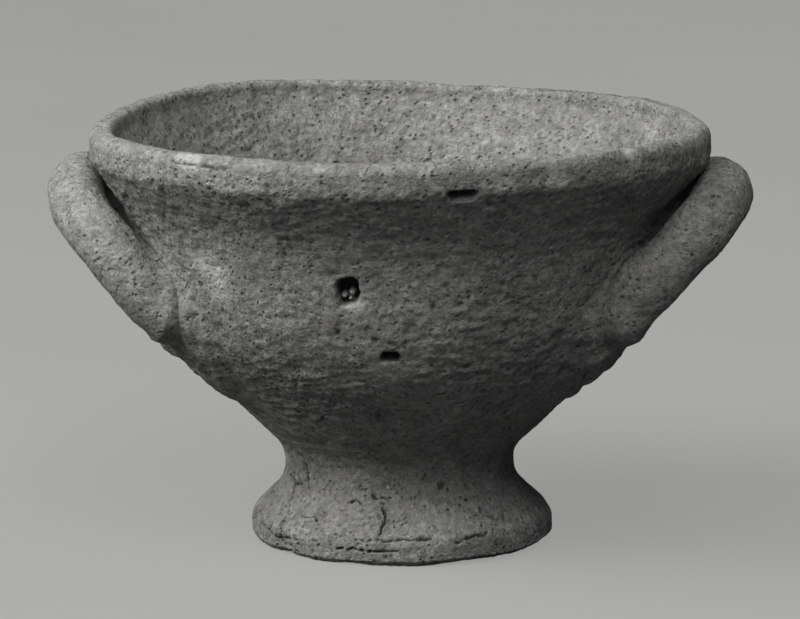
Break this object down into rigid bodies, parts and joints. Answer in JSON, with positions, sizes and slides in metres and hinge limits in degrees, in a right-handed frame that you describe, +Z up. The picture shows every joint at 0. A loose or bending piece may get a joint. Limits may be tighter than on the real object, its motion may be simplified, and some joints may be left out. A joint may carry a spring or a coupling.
{
  "type": "footed bowl",
  "caption": "Coarse fired-clay footed bowl: conical body with rolled rim, flared hollow foot and tilted coil handles pressed against the wall.",
  "frame": {"origin": "on the bowl's upright axis, at the ground face of the foot", "axes": "+Z up, out of the bowl's mouth; X runs through the two handles, +X towards the right-hand one; -Y faces the viewer"},
  "size_m": [0.1826, 0.16, 0.1107],
  "materials": {
    "body_clay": "coarse pitted unglazed fired clay, matt",
    "handle_clay": "rolled and wiped unglazed fired clay, matt",
    "luting_clay": "smeared and cracked unglazed fired clay, matt"
  },
  "bodies": {
    "root": {"bowl_body": "body_clay", "foot": "body_clay", "foot_band": "luting_clay", "right_handle": "handle_clay", "right_handle_front_wad": "luting_clay", "right_handle_back_wad": "luting_clay", "left_handle": "handle_clay", "left_handle_front_wad": "luting_clay", "left_handle_back_wad": "luting_clay"}
  },
  "joints": []
}
